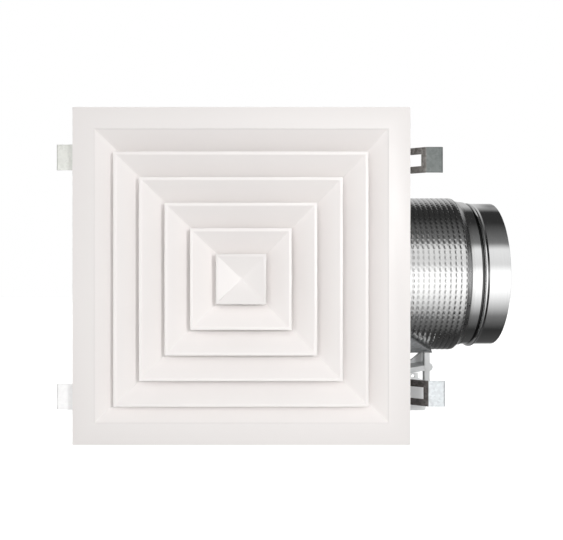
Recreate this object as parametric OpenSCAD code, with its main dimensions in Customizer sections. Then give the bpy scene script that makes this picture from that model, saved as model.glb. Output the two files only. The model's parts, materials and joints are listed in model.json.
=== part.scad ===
// Bathroom extractor fan with a square four-way louvred face, a sheet-metal body with a
// centrifugal blower, and a round outlet duct on its right side.
// The face looks along -Y, the outlet points along +X and +Z is up. The origin is the centre
// of the flange's back face, the plane that rests against the ceiling or wall.

/* [Face frame] */
// Width and height of the square face
face_w = 300; // [296:1:304]
// Depth of the flange, from its front to the ceiling plane
flange_t = 8; // [7:0.5:9]
// Width of the flat border round the face
border_w = 19; // [17:0.5:21]
// Half the clear width of the neck behind the bevel
neck_half = 110; // [109:0.5:111]

/* [Louvres] */
// Half the width of the largest louvre
core_half = 113.4; // [112:0.2:114]
// Step from one louvre's front edge to the next
louvre_pitch = 22.75; // [22:0.25:23]
// Width of each louvre's flat front lip
lip_w = 2.6; // [2:0.1:3]
// Depth that each louvre slopes back
louvre_drop = 17; // [15:0.5:18]
// Play that the removable core hangs down by in its frame
core_drop = 2.8; // [0:0.1:2.8]

/* [Body] */
// Half the width and height of the body box
body_half = 125; // [124:0.5:126]
// Shift of the body box towards the outlet
body_x = 6; // [5:0.5:7]
// Distance from the ceiling plane to the body's back
body_back = 204; // [203:1:206]
// Thickness of the sheet metal
sheet_t = 1.2; // [1:0.1:1.3]

/* [Clips] */
// Width of each clip's strip
clip_w = 23.5; // [20:0.5:25]
// Height of the upper left and lower right clips above and below the centre
clip_z = 108.5; // [106:0.5:110]
// Thickness of ceiling that the clips grip
board_t = 12; // [10:0.5:12]
// Width of the slot in each clip's leg
clip_slot_w = 11; // [9:0.5:13]

/* [Duct] */
// Outside diameter of the spigot that the duct hose slips over
spigot_d = 150; // [148:0.5:151]
// Distance from the ceiling plane to the duct's axis
duct_y = 119; // [118:0.5:120]
// Distance from the centre of the face to the spigot's rim
rim_x = 257.5; // [255:0.5:260]
// Outside diameter of the embossed sleeve
sleeve_d = 162; // [161:0.5:163]
// Outside diameter of the collar at the body
collar_d = 169; // [168:0.5:170]

/* [Blower] */
// Radius of the impeller
impeller_r = 60; // [58:0.5:61]
// Number of impeller blades
blades = 36; // [24:1:40]

/* [Hidden] */

smooth = 96;
fine = 48;
face_colour = [0.93, 0.925, 0.915];
zinc = [0.72, 0.73, 0.74];
dark_steel = [0.45, 0.46, 0.47];
grey_plastic = [0.74, 0.75, 0.75];
black = [0.12, 0.12, 0.13];

// Fasteners: small and large thread radius, head radius and head height
small_screw_r = 1.6;
small_head_r = 3.2;
small_head_h = 1.5;
large_screw_r = 2;
large_head_r = 3.8;
large_head_h = 1.8;
boss_r = 4.5;

// Face and core
front_y = -flange_t;
bevel_half = face_w / 2 - border_w;
face_wall = 2.5;
neck_wall = 1.5;
neck_y = 10;
neck_end = 30;
neck_screw_y = 18;
neck_screw_offset = 75;
louvre_run = louvre_pitch - 1.2;
louvre_wall = 1.3;
louvre_hem = 3;
core_back = front_y + louvre_drop + louvre_wall;
centre_drop = 11;
bar_offset = 34;
bar_t = 1.6;
bar_depth = 12;
bar_half = neck_half - core_drop - 0.4;
spring_w = 10;
spring_t = 0.6;

// Body box
body_front = 12;
body_left = body_x - body_half;
body_right = body_x + body_half;
body_inner = body_half - sheet_t;
lip_end = 24;
rim_depth = 14;
back_screw_offset = 80;

// Clips: the pivot is the bend between the foot and the springy leg
clip_t = 1.2;
clip_tab = 15;
clip_pivot_y = 36;
foot_gap = 0.4;
leaf_gap = 0.7;
foot_l = 22;
clip_screw_y = 48;
clip_screw_z = 6;
// Each clip: its side, its height, and how far its bend stands out from the body. They are
// screwed on one by one, so no two sit quite alike.
upper_left_clip = [-1, clip_z, 36.5];
lower_left_clip = [-1, -clip_z - 2.7, 36.5];
upper_right_clip = [1, clip_z - 2.1, 37.5];
lower_right_clip = [1, -clip_z, 39.5];
clips = [upper_left_clip, lower_left_clip, upper_right_clip, lower_right_clip];

// Blower
scroll_x = -15;
scroll_z = -40;
scroll_start = 66;
scroll_end = 100;
tongue_angle = 20;
scroll_turn = 290;
scroll_steps = 48;
scroll_front = 79;
scroll_back = 159;
scroll_eye = 52;
scroll_out = body_right - sheet_t;
impeller_front = 84.5;
impeller_back = 152;
blade_depth = 10;
shaft_r = 4;
// Angle and distance of each post from the scroll's centre
post_spots = [[60, 78], [135, 78], [225, 72], [315, 66]];
mount_circle = 52;
mount_gap = 5;
plate_t = 2;
plate_y = scroll_back + sheet_t + mount_gap;
can_y = plate_y + plate_t;
can_end = can_y + 30;
can_r = 38;
bearing_r = 11;
bearing_w = 7;
capacitor_x = body_left + 30;
capacitor_z = 98;
capacitor_y = 118;
capacitor_l = 50;
capacitor_r = 14;
strap_y = 138;
strap_w = 12;

// Outlet
spigot_r = spigot_d / 2;
spigot_wall = 0.8;
bead_x = rim_x - 22;
bead_h = 2.4;
sleeve_r = sleeve_d / 2;
sleeve_start = body_right + 9;
sleeve_end = rim_x - 43.5;
collar_r = collar_d / 2;
collar_end = body_right + 19;
tongue_end = rim_x - 63;
collar_flange_r = 92;
rivet_circle = 88.3;
pin_x = 165;
pin_r = 2;
flap_t = 0.8;
flap_r = spigot_r - spigot_wall - 0.6;

// Terminal box and duct bracket
box_front = 72;
box_back = 112;
box_right = 181;
box_low = -137;
box_high = -113.5;
box_corner = 3;
box_wall = 2;
lid_boss_r = 3.6;
lid_screw_spots = [
    [body_right + 6, box_high - 5],
    [box_right - 5, box_low + 5]
];
gland_y = 84;
gland_z = -125.25;
gland_bore_r = 4;
shelf_front = 80;
shelf_back = 120;
shelf_t = 5.3;
post_x = 181.5;
post_w = 5.3;
post_top = -79.8;

// A slab between two depths, drawn as seen from the front: x right, z up
module slab(y0, y1) {
    translate([0, y1, 0])
        rotate([90, 0, 0])
            linear_extrude(y1 - y0)
                children();
}

// Turned about an axis along +Y: the profile is drawn as [radius, y]
module turned_y(x = 0, z = 0, sides = smooth) {
    translate([x, 0, z])
        rotate([-90, 0, 0])
            rotate_extrude($fn = sides)
                children();
}

// Turned about the duct's axis: the profile is drawn as [radius, x]
module turned_duct() {
    translate([0, duct_y, 0])
        rotate([0, 90, 0])
            rotate_extrude($fn = smooth)
                children();
}

// A rod along +Y, +X or +Z from a starting point
module rod_y(r, y0, y1, x = 0, z = 0, sides = fine) {
    translate([x, y0, z])
        rotate([-90, 0, 0])
            cylinder(h = y1 - y0, r = r, $fn = sides);
}

module rod_x(r, x0, x1, y = 0, z = 0, sides = fine) {
    translate([x0, y, z])
        rotate([0, 90, 0])
            cylinder(h = x1 - x0, r = r, $fn = sides);
}

module rod_z(r, z0, z1, x = 0, y = 0) {
    translate([x, y, z0])
        cylinder(h = z1 - z0, r = r, $fn = fine);
}

// A box from its lowest to its highest corner
module block(low, high) {
    translate(low)
        cube(high - low);
}

// A square tube round the Y axis
module square_tube(half, wall, y0, y1, x = 0) {
    translate([x, 0, 0])
        slab(y0, y1)
            difference() {
                square(2 * half, center = true);
                square(2 * (half - wall), center = true);
            }
}

// A profile [half width, y] carried round the four sides of a square with mitred corners
module square_loop(profile) {
    for (turn = [0 : 90 : 270])
        rotate([0, turn, 0])
            intersection() {
                translate([0, 0, -face_w])
                    linear_extrude(2 * face_w)
                        polygon(profile);
                slab(front_y - 1, neck_end)
                    polygon([[0, 0], [face_w, -face_w], [face_w, face_w]]);
            }
}

// The removable core hangs a little low in its frame
module in_core() {
    translate([-0.5, 0, -core_drop])
        children();
}

// Copies on the left and right sides of the body
module on_side(side) {
    if (side > 0)
        children();
    else
        translate([2 * body_x, 0, 0])
            mirror([1, 0, 0])
                children();
}

// A pan-head screw along +Z with the underside of its head at z = 0
module screw(r, head_r, head_h, length) {
    cylinder(h = head_h, r = head_r, $fn = fine);
    translate([0, 0, -length])
        cylinder(h = length, r = r, $fn = fine);
}

// ---- Face ----

module face_frame() {
    color(face_colour)
        difference() {
            union() {
                square_tube(face_w / 2, 3, front_y, 0);
                square_tube(face_w / 2, border_w, front_y, front_y + face_wall);
                square_loop([
                    [bevel_half, front_y],
                    [bevel_half + face_wall, front_y],
                    [bevel_half + face_wall, front_y + face_wall],
                    [neck_half + neck_wall, neck_y + 2],
                    [neck_half, neck_y + 2],
                    [neck_half, neck_y]
                ]);
                square_tube(neck_half + neck_wall, neck_wall, neck_y + 1, neck_end);
            }
            neck_screw_places()
                cylinder(h = 3 * neck_wall, r = small_screw_r, center = true, $fn = fine);
        }
}

// The eight screws through the neck: +Z of the children points to the middle
module neck_screw_places() {
    for (turn = [0 : 90 : 270])
        for (offset = [-neck_screw_offset, neck_screw_offset])
            rotate([0, turn, 0])
                translate([neck_half, neck_screw_y, offset])
                    rotate([0, -90, 0])
                        children();
}

module frame_screws() {
    color(zinc)
        neck_screw_places()
            screw(small_screw_r, small_head_r, small_head_h, 6);
}

// Louvre number n counts inwards from the frame
module louvre(n) {
    half = core_half - (n - 1) * louvre_pitch;
    color(face_colour)
        in_core()
            square_loop([
                [half, front_y],
                [half, front_y + louvre_hem],
                [half - 1, front_y + louvre_hem],
                [half - 1, front_y + louvre_wall],
                [half - lip_w, front_y + louvre_wall],
                [half - lip_w - louvre_run, core_back],
                [half - lip_w - louvre_run, core_back - louvre_wall],
                [half - lip_w, front_y]
            ]);
}

// The middle of the core: a shallow pyramid pressed back to a point
module centre_louvre() {
    half = core_half - 4 * louvre_pitch;
    color(face_colour)
        in_core() {
            square_loop([
                [half, front_y],
                [half, front_y + louvre_hem],
                [half - 1, front_y + louvre_hem],
                [half - 1, front_y + louvre_wall],
                [half - lip_w, front_y + louvre_wall],
                [0, front_y + centre_drop + louvre_wall],
                [0, front_y + centre_drop],
                [half - lip_w, front_y]
            ]);
            rod_y(4, front_y + centre_drop - 1, core_back);
            block([-bar_offset, core_back, -8], [bar_offset, core_back + 1.5, 8]);
        }
}

module core_crossbars() {
    color(face_colour)
        in_core()
            difference() {
                union()
                    for (offset = [-bar_offset, bar_offset]) {
                        block(
                            [-bar_half, core_back, offset - bar_t / 2],
                            [bar_half, core_back + bar_depth, offset + bar_t / 2]
                        );
                        block(
                            [offset - bar_t / 2, core_back, -bar_half],
                            [offset + bar_t / 2, core_back + bar_depth, bar_half]
                        );
                    }
                block([-bar_offset, core_back - 1, -8], [bar_offset, core_back + 1.5, 8]);
            }
}

// A leaf spring on each end of the two level crossbars
module core_springs() {
    leaf_x = bar_half;
    color(zinc)
        in_core()
            for (side = [-1, 1])
                for (offset = [-bar_offset, bar_offset])
                    scale([side, 1, 1])
                        translate([0, 0, offset + bar_t / 2])
                            linear_extrude(spring_w)
                                polygon([
                                    [leaf_x - 14, core_back + 1],
                                    [leaf_x - 6, core_back + 1],
                                    [leaf_x, core_back + 5],
                                    [leaf_x - 6, core_back + 11],
                                    [leaf_x - 6.6, core_back + 10.4],
                                    [leaf_x - 1.2, core_back + 5],
                                    [leaf_x - 6.3, core_back + 1 + spring_t],
                                    [leaf_x - 14, core_back + 1 + spring_t]
                                ]);
}

// ---- Body box ----

// The body's front plate, with a lip that the face's neck is screwed to
module housing_front() {
    color(zinc)
        difference() {
            union() {
                slab(body_front, body_front + sheet_t)
                    difference() {
                        translate([body_x, 0])
                            square(2 * body_half, center = true);
                        square(2 * (neck_half + neck_wall), center = true);
                    }
                square_tube(
                    neck_half + neck_wall + sheet_t, sheet_t, body_front, lip_end
                );
            }
            neck_screw_places()
                translate([0, 0, -2 * neck_wall])
                    cylinder(h = 3 * sheet_t, r = small_screw_r, center = true, $fn = fine);
        }
}

module housing_body() {
    color(zinc)
        difference() {
            square_tube(
                body_half, sheet_t, body_front + sheet_t, body_back - sheet_t, body_x
            );
            rod_x(spigot_r, body_right - 2 * sheet_t, body_right + 1, duct_y, 0, smooth);
            clip_screw_places()
                cylinder(h = 10, r = large_screw_r, center = true, $fn = fine);
            rivet_places()
                cylinder(h = 10, r = small_screw_r, center = true, $fn = fine);
            bracket_screw_places()
                cylinder(h = 10, r = large_screw_r, center = true, $fn = fine);
            back_screw_places()
                cylinder(h = 4 * sheet_t, r = small_screw_r, center = true, $fn = fine);
        }
}

// The back plate, with a rim that fits inside the walls
module housing_back() {
    color(zinc)
        difference() {
            union() {
                translate([body_x, 0, 0])
                    slab(body_back - sheet_t, body_back)
                        square(2 * body_half, center = true);
                square_tube(
                    body_inner, sheet_t, body_back - rim_depth, body_back - sheet_t / 2,
                    body_x
                );
            }
            back_screw_places()
                cylinder(h = 4 * sheet_t, r = small_screw_r, center = true, $fn = fine);
            post_places()
                cylinder(h = 3 * body_back, r = small_screw_r, center = true, $fn = fine);
        }
}

// Where eight self-tapping screws hold the back plate's rim; +Z of the children points out
module back_screw_places() {
    translate([body_x, body_back - rim_depth / 2, 0])
        for (turn = [0 : 90 : 270])
            for (offset = [-back_screw_offset, back_screw_offset])
                rotate([0, turn, 0])
                    translate([body_half, 0, offset])
                        rotate([0, 90, 0])
                            children();
}

module back_screws() {
    color(zinc)
        back_screw_places()
            screw(small_screw_r, small_head_r, small_head_h, 5);
}

// ---- Clips ----

// The springy leaf of a clip: a slotted leg that ramps out to a flat tab
module clip_leaf(reach) {
    start = [body_right + leaf_gap, clip_pivot_y];
    bend = [body_right + reach, board_t];
    slope = atan2(start[1] - bend[1] - clip_t, bend[0] - start[0]);
    lift = clip_t / cos(slope);
    difference() {
        translate([0, 0, -clip_w / 2])
            linear_extrude(clip_w)
                polygon([
                    start,
                    [bend[0], bend[1] + clip_t],
                    [bend[0] + clip_tab - 1, bend[1] + clip_t],
                    [bend[0] + clip_tab, bend[1] + clip_t + 0.8],
                    [bend[0] + clip_tab + 0.4, bend[1] + clip_t - 0.2],
                    [bend[0] + clip_tab - 0.8, bend[1]],
                    bend - [lift / 2, 0],
                    [start[0], start[1] - lift]
                ]);
        block(
            [body_right + 7, 0, -clip_slot_w / 2],
            [body_right + reach - 5, clip_pivot_y, clip_slot_w / 2]
        );
    }
}

// Moves its children to a clip's side and height
module at_clip(spot) {
    translate([0, 0, spot[1]])
        on_side(spot[0])
            children();
}

module clip(spot) {
    color(zinc)
        at_clip(spot)
            clip_leaf(spot[2]);
}

// The flat feet of the four clips, which their screws hold to the body
module clip_feet() {
    foot = [clip_t, foot_l, clip_w];
    color(zinc)
        for (spot = clips)
            at_clip(spot)
                difference() {
                    translate([body_right, clip_pivot_y + foot_gap, -clip_w / 2])
                        cube(foot);
                    for (z = [-clip_screw_z, clip_screw_z])
                        rod_x(
                            large_screw_r, body_right - 1, body_right + 3,
                            clip_screw_y, z
                        );
                }
}

// +Z of the children points away from the body
module clip_screw_places() {
    for (spot = clips)
        at_clip(spot)
            for (z = [-clip_screw_z, clip_screw_z])
                translate([body_right + clip_t, clip_screw_y, z])
                    rotate([0, 90, 0])
                        children();
}

module clip_screws() {
    color(zinc)
        clip_screw_places()
            screw(large_screw_r, large_head_r, large_head_h, 8);
}

// ---- Blower ----

// The scroll's radius after a share t of its turn, from the tongue round to the outlet
function scroll_radius(t) = scroll_start + (scroll_end - scroll_start) * t;

// The scroll's outline, grown outwards by a wall
function scroll_path(wall) =
    let (
        low = scroll_start * sin(tongue_angle) - wall,
        first = asin(low / (scroll_start + wall)),
        last = tongue_angle - scroll_turn
    )
    concat(
        [[scroll_out - scroll_x, low]],
        [
            for (i = [0 : scroll_steps])
                let (
                    t = i / scroll_steps,
                    a = first + (last - first) * t,
                    r = scroll_radius(t) + wall
                )
                [r * cos(a), r * sin(a)]
        ],
        [[scroll_out - scroll_x, scroll_end + wall]]
    );

module in_scroll() {
    translate([scroll_x, 0, scroll_z])
        children();
}

module scroll_wrap() {
    color(zinc)
        in_scroll()
            slab(scroll_front, scroll_back)
                difference() {
                    polygon(scroll_path(sheet_t));
                    polygon(scroll_path(0));
                    translate([scroll_out - scroll_x - 1, -scroll_end])
                        square([3, 3 * scroll_end]);
                }
}

module scroll_front_plate() {
    color(zinc)
        in_scroll()
            slab(scroll_front - sheet_t, scroll_front)
                difference() {
                    polygon(scroll_path(sheet_t));
                    circle(r = scroll_eye, $fn = smooth);
                }
}

module scroll_back_plate() {
    color(zinc)
        difference() {
            in_scroll()
                slab(scroll_back, scroll_back + sheet_t)
                    difference() {
                        polygon(scroll_path(sheet_t));
                        circle(r = 14, $fn = smooth);
                    }
            motor_screw_places()
                cylinder(h = 100, r = large_screw_r, center = true, $fn = fine);
            post_places()
                cylinder(h = 3 * body_back, r = small_screw_r, center = true, $fn = fine);
        }
}

// Four posts carry the scroll on the back plate; +Z of the children points back
module post_places() {
    for (place = post_spots)
        translate([
            scroll_x + place[1] * cos(place[0]),
            0,
            scroll_z + place[1] * sin(place[0])
        ])
            rotate([-90, 0, 0])
                children();
}

module scroll_posts() {
    color(zinc)
        post_places()
            translate([0, 0, scroll_back + sheet_t])
                difference() {
                    cylinder(
                        h = body_back - scroll_back - 2 * sheet_t, r = boss_r, $fn = fine
                    );
                    translate([0, 0, -1])
                        cylinder(h = body_back, r = small_screw_r, $fn = fine);
                }
}

// A screw in each end of each post: one from inside the scroll, one from behind the body
module post_screws() {
    color(zinc)
        post_places() {
            translate([0, 0, scroll_back])
                mirror([0, 0, 1])
                    screw(small_screw_r, small_head_r, small_head_h, 9);
            translate([0, 0, body_back])
                screw(small_screw_r, small_head_r, small_head_h, 9);
        }
}

module inlet_ring() {
    color(dark_steel)
        turned_y(scroll_x, scroll_z)
            polygon([
                [scroll_eye + 12, scroll_front - sheet_t],
                [scroll_eye + 12, scroll_front - sheet_t - 1],
                [scroll_eye + 3, scroll_front - sheet_t - 3],
                [scroll_eye - 1, scroll_front - sheet_t - 2],
                [scroll_eye - 3, scroll_front + 1],
                [scroll_eye - 3, scroll_front + 4.5],
                [scroll_eye - 1.8, scroll_front + 4.5],
                [scroll_eye - 1.8, scroll_front + 1],
                [scroll_eye, scroll_front - sheet_t]
            ]);
}

// One forward-curved blade, with its inner edge at angle 0
function blade_side(shift) = [
    for (i = [0 : 4])
        let (
            s = i / 4,
            r = impeller_r - 0.5 - blade_depth * (1 - s),
            a = -16 * s * s + 2 * s + shift
        )
        [r * cos(a), r * sin(a)]
];

module blade_outline() {
    far = blade_side(1.1);
    polygon(concat(blade_side(0), [for (i = [4 : -1 : 0]) far[i]]));
}

module impeller_blades() {
    color(black)
        in_scroll()
            for (i = [0 : blades - 1])
                slab(impeller_front + 3, impeller_back - 2)
                    rotate(i * 360 / blades)
                        blade_outline();
}

module impeller_ring() {
    color(black)
        turned_y(scroll_x, scroll_z)
            polygon([
                [impeller_r - blade_depth - 1, impeller_front],
                [impeller_r, impeller_front],
                [impeller_r, impeller_front + 3],
                [impeller_r - blade_depth - 1, impeller_front + 3]
            ]);
}

module impeller_hub() {
    color(black)
        turned_y(scroll_x, scroll_z)
            polygon([
                [shaft_r, impeller_back - 24],
                [12, impeller_back - 24],
                [14, impeller_back - 4],
                [impeller_r - 12, impeller_back - 2],
                [impeller_r, impeller_back - 2],
                [impeller_r, impeller_back],
                [shaft_r, impeller_back]
            ]);
}

module impeller_nut() {
    color(zinc)
        difference() {
            rod_y(7, impeller_back - 30, impeller_back - 24, scroll_x, scroll_z, 6);
            rod_y(shaft_r, impeller_back - 31, impeller_back - 23, scroll_x, scroll_z);
        }
}

module motor_shaft() {
    color(zinc)
        rod_y(shaft_r, impeller_back - 34, can_end - 1, scroll_x, scroll_z);
}

module motor_rotor() {
    color(dark_steel)
        turned_y(scroll_x, scroll_z)
            polygon([
                [shaft_r, can_y + 10],
                [23.4, can_y + 10],
                [23.4, can_y + 21],
                [shaft_r, can_y + 21]
            ]);
}

// The stator's iron ring with a fat copper winding on each end
module motor_stator() {
    color([0.72, 0.4, 0.2])
        turned_y(scroll_x, scroll_z)
            polygon([
                [26, can_y + 8.5],
                [33, can_y + 8.5],
                [34, can_y + 11],
                [can_r - 2, can_y + 11],
                [can_r - 2, can_y + 20],
                [34, can_y + 20],
                [33, can_y + 22.5],
                [26, can_y + 22.5],
                [24, can_y + 20],
                [24, can_y + 11]
            ]);
}

module motor_can() {
    color(dark_steel)
        turned_y(scroll_x, scroll_z)
            polygon([
                [bearing_r, can_y],
                [can_r, can_y],
                [can_r, can_end],
                [can_r - 2, can_end],
                [can_r - 2, can_y + 2],
                [bearing_r + 2, can_y + 2],
                [bearing_r + 2, can_y + bearing_w],
                [bearing_r, can_y + bearing_w]
            ]);
}

module motor_end_cap() {
    color(dark_steel)
        turned_y(scroll_x, scroll_z)
            polygon([
                [0, can_end + 3],
                [can_r - 8, can_end + 3],
                [can_r, can_end + 1.5],
                [can_r, can_end],
                [bearing_r + 2, can_end],
                [bearing_r + 2, can_end - bearing_w],
                [bearing_r, can_end - bearing_w],
                [bearing_r, can_end],
                [0, can_end]
            ]);
}

module motor_bearings() {
    color(zinc)
        for (y = [can_y, can_end - bearing_w])
            turned_y(scroll_x, scroll_z)
                polygon([
                    [shaft_r + 0.04, y],
                    [bearing_r, y],
                    [bearing_r, y + bearing_w],
                    [shaft_r + 0.04, y + bearing_w]
                ]);
}

// Three mounting points round the motor; +Z of the children points back
module motor_screw_places() {
    for (a = [90, 210, 330])
        translate([
            scroll_x + mount_circle * cos(a),
            can_y,
            scroll_z + mount_circle * sin(a)
        ])
            rotate([-90, 0, 0])
                children();
}

module motor_plate() {
    color(zinc)
        difference() {
            rod_y(mount_circle + 8, plate_y, can_y, scroll_x, scroll_z, smooth);
            rod_y(8, plate_y - 1, can_y + 1, scroll_x, scroll_z);
            motor_screw_places()
                cylinder(h = 10, r = large_screw_r, center = true, $fn = fine);
        }
}

module rubber_mounts() {
    color(black)
        motor_screw_places()
            translate([0, 0, -mount_gap - plate_t])
                difference() {
                    cylinder(h = mount_gap, r = 7, $fn = fine);
                    translate([0, 0, -1])
                        cylinder(h = mount_gap + 2, r = large_screw_r, $fn = fine);
                }
}

module motor_screws() {
    color(zinc)
        motor_screw_places()
            screw(large_screw_r, 4, 2.5, 10.5);
}

module run_capacitor() {
    far = capacitor_y + capacitor_l;
    color([0.85, 0.86, 0.86])
        turned_y(capacitor_x, capacitor_z, fine)
            polygon([
                [0, capacitor_y],
                [4, capacitor_y],
                [4, capacitor_y + 2],
                [capacitor_r - 1, capacitor_y + 2],
                [capacitor_r, capacitor_y + 3],
                [capacitor_r, far - 1],
                [capacitor_r - 1, far],
                [0, far]
            ]);
}

// A band round the capacitor with a tab against the body's left wall
module capacitor_strap() {
    wall_x = body_left + sheet_t;
    color(zinc) {
        difference() {
            rod_y(capacitor_r + 1, strap_y, strap_y + strap_w, capacitor_x, capacitor_z);
            rod_y(
                capacitor_r, strap_y - 1, strap_y + strap_w + 1, capacitor_x, capacitor_z
            );
        }
        difference() {
            block(
                [wall_x, strap_y, capacitor_z - 1],
                [capacitor_x - capacitor_r + 1, strap_y + strap_w, capacitor_z + 1]
            );
            rod_y(
                capacitor_r + 0.5, strap_y - 1, strap_y + strap_w + 1,
                capacitor_x, capacitor_z
            );
        }
        block(
            [wall_x, strap_y, capacitor_z - strap_w],
            [wall_x + sheet_t, strap_y + strap_w, capacitor_z + strap_w]
        );
    }
}

// ---- Outlet ----

// Where the collar is riveted to the body's wall; +Z of the children points out
module rivet_places() {
    for (a = [45 : 90 : 315])
        translate([
            body_right + 1.5,
            duct_y + rivet_circle * cos(a),
            rivet_circle * sin(a)
        ])
            rotate([0, 90, 0])
                children();
}

// The collar's profile up to an end: a flange, a barrel and a lip turned in to the sleeve
module collar_shell(end) {
    inner = collar_r - sheet_t;
    turned_duct()
        polygon([
            [spigot_r, body_right],
            [collar_flange_r, body_right],
            [collar_flange_r, body_right + 1.5],
            [collar_r, body_right + 1.5],
            [collar_r, end],
            [sleeve_r, end],
            [sleeve_r, end - sheet_t],
            [inner, end - sheet_t],
            [inner, body_right + 1.5],
            [spigot_r, body_right + 1.5]
        ]);
}

// Height of the slanting edge of the tongue under the duct
function tongue_top(x) = -54.7 - 0.6255 * (x - collar_end);

// The collar is short, with a tongue under the duct that is cut off at a slant
module outlet_collar() {
    start = collar_end - 3;
    stop = tongue_end + 1;
    low = -collar_r - 1;
    color(zinc)
        difference() {
            union() {
                collar_shell(collar_end);
                intersection() {
                    collar_shell(tongue_end);
                    slab(0, duct_y + collar_r + 1)
                        polygon([
                            [start, tongue_top(start)],
                            [stop, tongue_top(stop)],
                            [stop, low],
                            [start, low]
                        ]);
                }
            }
            rivet_places()
                cylinder(h = 10, r = small_screw_r, center = true, $fn = fine);
        }
}

module collar_rivets() {
    color(zinc)
        rivet_places()
            screw(small_screw_r, 3, 1.2, 3.5);
}

// The outer sleeve: its embossed barrel necks down onto the spigot
module embossed_sleeve() {
    wall = 1.2;
    color(zinc)
        turned_duct()
            polygon([
                [spigot_r, sleeve_start],
                [sleeve_r, sleeve_start],
                [sleeve_r, sleeve_end],
                [spigot_r + 1, sleeve_end + 5],
                [spigot_r + 1, sleeve_end + 9],
                [spigot_r, sleeve_end + 9],
                [spigot_r, sleeve_end + 4],
                [sleeve_r - wall, sleeve_end - 1],
                [sleeve_r - wall, sleeve_start + wall],
                [spigot_r, sleeve_start + wall]
            ]);
}

module duct_insulation() {
    color([0.25, 0.25, 0.26])
        turned_duct()
            polygon([
                [spigot_r, sleeve_start + 1.2],
                [sleeve_r - 1.2, sleeve_start + 1.2],
                [sleeve_r - 1.2, sleeve_end - 2],
                [spigot_r, sleeve_end - 2]
            ]);
}

module outlet_spigot() {
    inner = spigot_r - spigot_wall;
    color(zinc)
        difference() {
            turned_duct()
                polygon([
                    [inner, body_right - sheet_t],
                    [spigot_r, body_right - sheet_t],
                    [spigot_r, bead_x - 4],
                    [spigot_r + bead_h, bead_x - 2],
                    [spigot_r + bead_h, bead_x + 2],
                    [spigot_r, bead_x + 4],
                    [spigot_r, rim_x],
                    [inner, rim_x],
                    [inner, bead_x + 4],
                    [inner + bead_h, bead_x + 1.5],
                    [inner + bead_h, bead_x - 1.5],
                    [inner, bead_x - 4]
                ]);
            rod_z(pin_r, -spigot_r - 1, spigot_r + 1, pin_x, duct_y);
        }
}

// The ring that the closed flaps rest against
module damper_seat() {
    front = pin_x - flap_t / 2 - 2.3;
    color(black)
        difference() {
            turned_duct()
                polygon([
                    [flap_r - 3, front],
                    [spigot_r - spigot_wall, front],
                    [spigot_r - spigot_wall, front + 2],
                    [flap_r - 3, front + 2]
                ]);
            rod_z(pin_r + 0.1, -spigot_r, spigot_r, pin_x, duct_y);
        }
}

module damper_pin() {
    color(zinc)
        rod_z(pin_r, -spigot_r + 0.1, spigot_r - 0.1, pin_x, duct_y);
}

// Half a disc with two knuckles on the pin; side is +1 behind the pin and -1 in front
module damper_flap(side, knuckles) {
    knuckle_r = pin_r + 1.4;
    knuckle_l = 12;
    color([0.8, 0.81, 0.82])
        translate([pin_x, duct_y, 0])
            difference() {
                union() {
                    rotate([90, 0, 90])
                        translate([0, 0, -flap_t / 2])
                            linear_extrude(flap_t)
                                intersection() {
                                    circle(r = flap_r, $fn = smooth);
                                    translate([side > 0 ? 4 : -flap_r - 4, -flap_r])
                                        square([flap_r, 2 * flap_r]);
                                }
                    for (z = knuckles) {
                        translate([0, 0, z - knuckle_l / 2])
                            cylinder(h = knuckle_l, r = knuckle_r, $fn = fine);
                        block(
                            [-flap_t / 2, side > 0 ? 2.5 : -5, z - knuckle_l / 2],
                            [flap_t / 2, side > 0 ? 5 : -2.5, z + knuckle_l / 2]
                        );
                    }
                }
                rod_z(pin_r + 0.05, -flap_r, flap_r);
            }
}

module damper_flap_front() {
    damper_flap(-1, [-52, 24]);
}

module damper_flap_back() {
    damper_flap(1, [-24, 52]);
}

// Close-wound torsion spring on the middle of the pin, with a leg behind each flap
module damper_spring() {
    wire = 1;
    coils = 9;
    inner = pin_r + 0.05;
    color(dark_steel)
        translate([pin_x, duct_y, -coils * wire / 2])
            rotate_extrude($fn = fine)
                polygon(concat(
                    [[inner, 0]],
                    [
                        for (i = [0 : coils - 1])
                            each [
                                [inner + 0.6, i * wire],
                                [inner + wire, (i + 0.5) * wire]
                            ]
                    ],
                    [[inner + 0.6, coils * wire], [inner, coils * wire]]
                ));
}

// ---- Terminal box and duct bracket ----

// The box's outline from the front, with its lower outer corner rounded
module box_outline(inset) {
    difference() {
        translate([body_right + inset, box_low + inset])
            square([
                box_right - body_right - 2 * inset,
                box_high - box_low - 2 * inset
            ]);
        difference() {
            translate([box_right - box_corner, box_low - 1])
                square(box_corner + 1);
            translate([box_right - box_corner, box_low + box_corner])
                circle(r = box_corner - inset, $fn = fine);
            translate([box_right - box_corner - 1, box_low + box_corner])
                square(box_corner + 3);
        }
    }
}

module lid_screw_places() {
    for (place = lid_screw_spots)
        translate([place[0], box_back + 2, place[1]])
            rotate([-90, 0, 0])
                children();
}

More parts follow.
